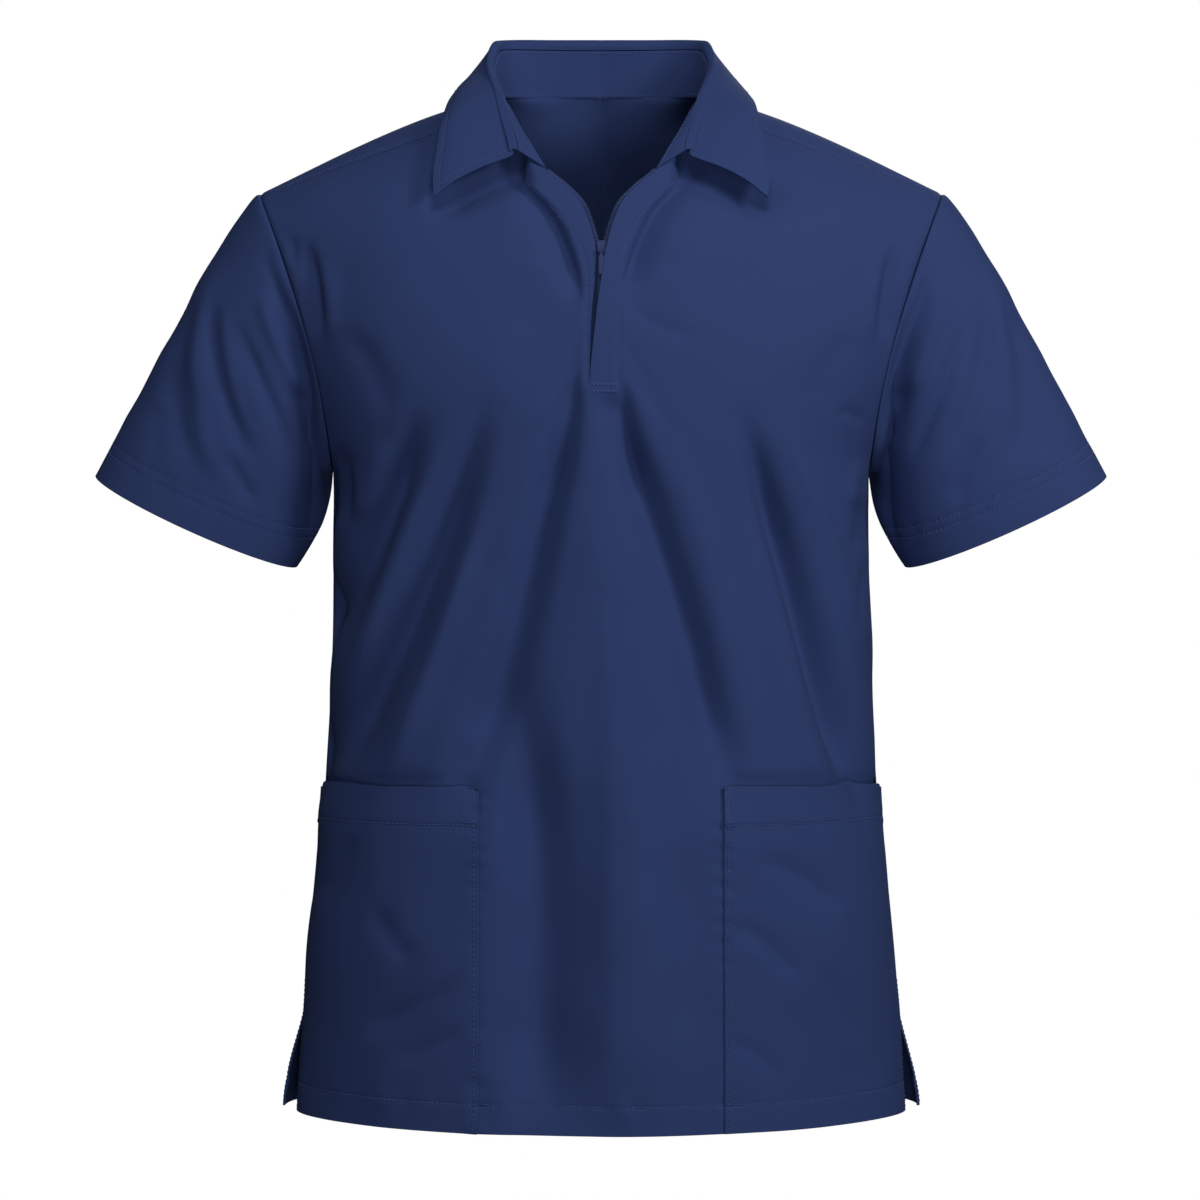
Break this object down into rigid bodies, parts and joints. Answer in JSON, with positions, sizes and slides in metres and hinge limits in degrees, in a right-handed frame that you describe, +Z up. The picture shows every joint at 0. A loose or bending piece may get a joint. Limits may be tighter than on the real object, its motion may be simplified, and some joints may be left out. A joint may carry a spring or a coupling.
{
  "type": "medical scrub top",
  "caption": "Short-sleeved scrub tunic, filled out and hollow, with a shirt collar, a half-length front zip, patch pockets and side vents.",
  "frame": {"origin": "the middle of the neck opening, at the height of the shoulders' highest point and in the plane of the side seams, where the wearer's neck holds the garment up", "axes": "+Z up, towards the collar; -Y the way the front faces, towards the viewer; +X to the wearer's left, which is the viewer's right"},
  "size_m": [0.7512, 0.2594, 0.8066],
  "materials": {
    "cloth": "fine twill with a slight sheen",
    "zip_tape": "woven tape",
    "zip_metal": "semi-gloss"
  },
  "bodies": {
    "garment": {"front": "cloth", "back_left": "cloth", "back_right": "cloth", "pocket_left": "cloth", "pocket_right": "cloth", "sleeve_left": "cloth", "sleeve_right": "cloth", "collar_stand": "cloth", "collar_fall": "cloth", "zip_tape_left": "zip_tape", "zip_tape_right": "zip_tape", "zip_slider": "zip_metal"},
    "pull_tab": {"zip_pull": "zip_metal"}
  },
  "joints": [
    {"name": "pull_tab_hinge", "type": "hinge", "parent": "garment", "child": "pull_tab", "pos_m": [0.0002, -0.10861, -0.12209], "axis": [-1, 0, 0], "range_deg": [0, 150]}
  ]
}
